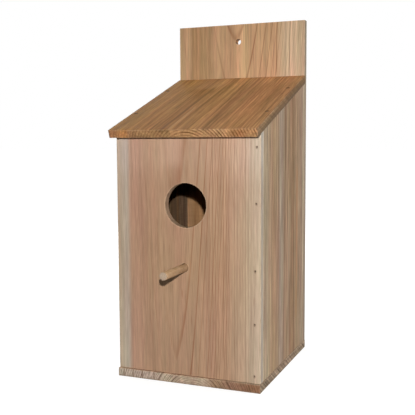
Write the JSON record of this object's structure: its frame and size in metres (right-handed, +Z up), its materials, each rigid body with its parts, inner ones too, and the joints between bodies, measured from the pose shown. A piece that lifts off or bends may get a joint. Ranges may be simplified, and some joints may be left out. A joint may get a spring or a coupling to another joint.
{
  "type": "nest box",
  "caption": "Tall wooden nest box with a pitched roof, a round entrance above a dowel perch, and a back wall that rises over the roof to hang it by a hole.",
  "frame": {"origin": "centre of the floor board's underside, on the surface that the box stands on", "axes": "+Z up, +Y from the entrance to the hanging wall, +X to the right as the entrance is seen"},
  "size_m": [0.1636, 0.2294, 0.3955],
  "materials": {
    "floor_wood": "bare sawn softwood, dark red-brown heartwood with grey end grain",
    "front_wood": "bare planed softwood, pinkish brown with upright grain",
    "side_wood": "bare planed softwood, brown with grey and tan upright bands",
    "back_wood": "bare planed softwood, tan with a cathedral figure",
    "roof_wood": "bare planed softwood, orange brown with dark lines down the slope",
    "perch_wood": "bare turned dowel, pale tan",
    "nail_steel": "dull wire nail heads"
  },
  "bodies": {
    "root": {"floor": "floor_wood", "front_wall": "front_wood", "left_wall": "side_wood", "right_wall": "side_wood", "back_board": "back_wood", "roof": "roof_wood", "perch": "perch_wood"}
  },
  "joints": []
}
